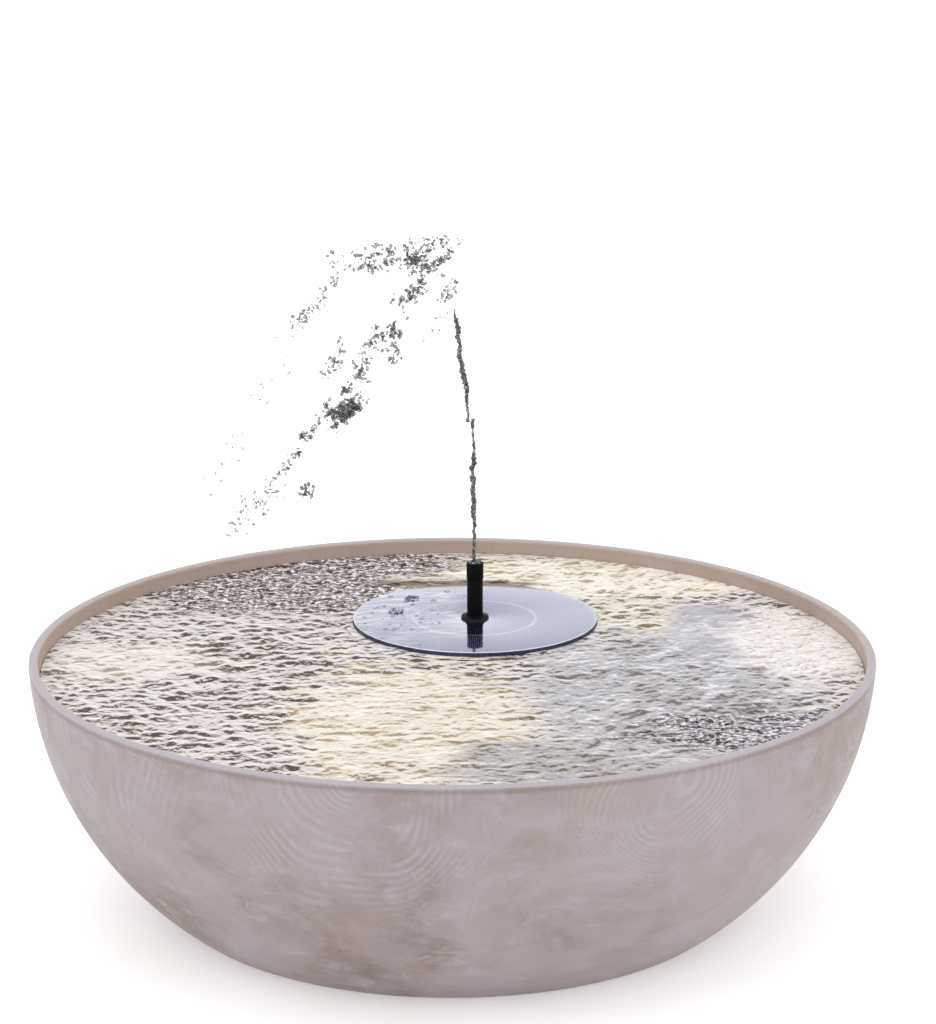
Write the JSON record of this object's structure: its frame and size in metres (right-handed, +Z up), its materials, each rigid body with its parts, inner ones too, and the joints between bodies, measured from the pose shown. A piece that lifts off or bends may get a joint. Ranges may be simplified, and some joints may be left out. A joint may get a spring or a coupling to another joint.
{
  "type": "bird bath",
  "caption": "Round marbled bird bath bowl filled with water, with a floating solar disc fountain, its pump and strainer, and a jet that falls back as drops.",
  "frame": {"origin": "centre of the bowl's flat foot, on the ground", "axes": "+Z up, +Y away from the viewer in the reference view, towards the side where the fountain floats, +X to the viewer's right"},
  "size_m": [0.5298, 0.5298, 0.408],
  "materials": {
    "bowl_stone": "satin",
    "water": "clear",
    "black_plastic": "satin",
    "foam": "matt",
    "panel_board": "gloss",
    "solar_cell": "gloss",
    "conductor": "satin",
    "clear_film": "gloss",
    "black_rubber": "matt",
    "screw_steel": "satin",
    "circuit_board": "satin",
    "chip": "matt",
    "core_steel": "satin",
    "copper": "satin",
    "ceramic": "gloss",
    "magnet": "matt",
    "white_plastic": "satin",
    "wire": "satin",
    "sponge": "matt"
  },
  "bodies": {
    "bowl": {"bowl": "bowl_stone"},
    "water": {"water": "water"},
    "waterline": {"meniscus": "water"},
    "buoy": {"foam_ring": "foam"},
    "float": {"float_shell": "black_plastic", "float_base": "black_plastic", "panel_board": "panel_board", "outer_cells": "solar_cell", "inner_cells": "solar_cell", "ring_conductor": "conductor", "panel_film": "clear_film", "outlet_collar": "black_plastic", "collar_washer": "black_rubber", "shell_screws": "screw_steel", "pump_housing": "black_plastic", "wire_gland": "black_rubber", "panel_wires": "wire", "drive_board": "circuit_board", "drive_chip": "chip", "stator_core": "core_steel", "stator_coils": "copper", "rotor_can": "black_plastic", "upper_bush": "black_rubber", "shaft": "ceramic", "lower_bush": "black_rubber", "cover_seal": "black_rubber", "pump_cover": "black_plastic", "cover_screws": "screw_steel"},
    "rotor": {"rotor_magnet": "magnet", "impeller": "white_plastic"},
    "strainer": {"strainer_cover": "black_plastic", "filter_sponge": "sponge"},
    "riser": {"riser_tube": "black_plastic"},
    "nozzle": {"nozzle_head": "black_plastic", "water_jet": "water", "spray_drops": "water"}
  },
  "joints": [
    {"name": "water_swirl", "type": "hinge", "parent": "bowl", "child": "water", "pos_m": [0, 0, 0.08], "axis": [0, 0, 1], "continuous": true},
    {"name": "float_drift", "type": "slide", "parent": "water", "child": "waterline", "axis": [0.165, 0.9863, 0], "range_m": [-0.261, 0.083], "deforming": ["water", "meniscus"]},
    {"name": "float_lift", "type": "slide", "parent": "waterline", "child": "buoy", "axis": [0, 0, 1], "range_m": [0, 0.12]},
    {"name": "float_turn", "type": "hinge", "parent": "buoy", "child": "float", "pos_m": [0.01469, 0.08778, 0.15], "axis": [0, 0, 1], "continuous": true},
    {"name": "riser_pull", "type": "slide", "parent": "float", "child": "riser", "axis": [0, 0, 1], "range_m": [0, 0.02]},
    {"name": "nozzle_pull", "type": "slide", "parent": "riser", "child": "nozzle", "axis": [0, 0, 1], "range_m": [0, 0.015], "deforming": ["water_jet", "spray_drops"]},
    {"name": "rotor_spin", "type": "hinge", "parent": "float", "child": "rotor", "pos_m": [0.01469, 0.08778, 0.13], "axis": [0, 0, 1], "continuous": true},
    {"name": "strainer_pull", "type": "slide", "parent": "float", "child": "strainer", "axis": [0, 0, -1], "range_m": [0, 0.02]}
  ]
}
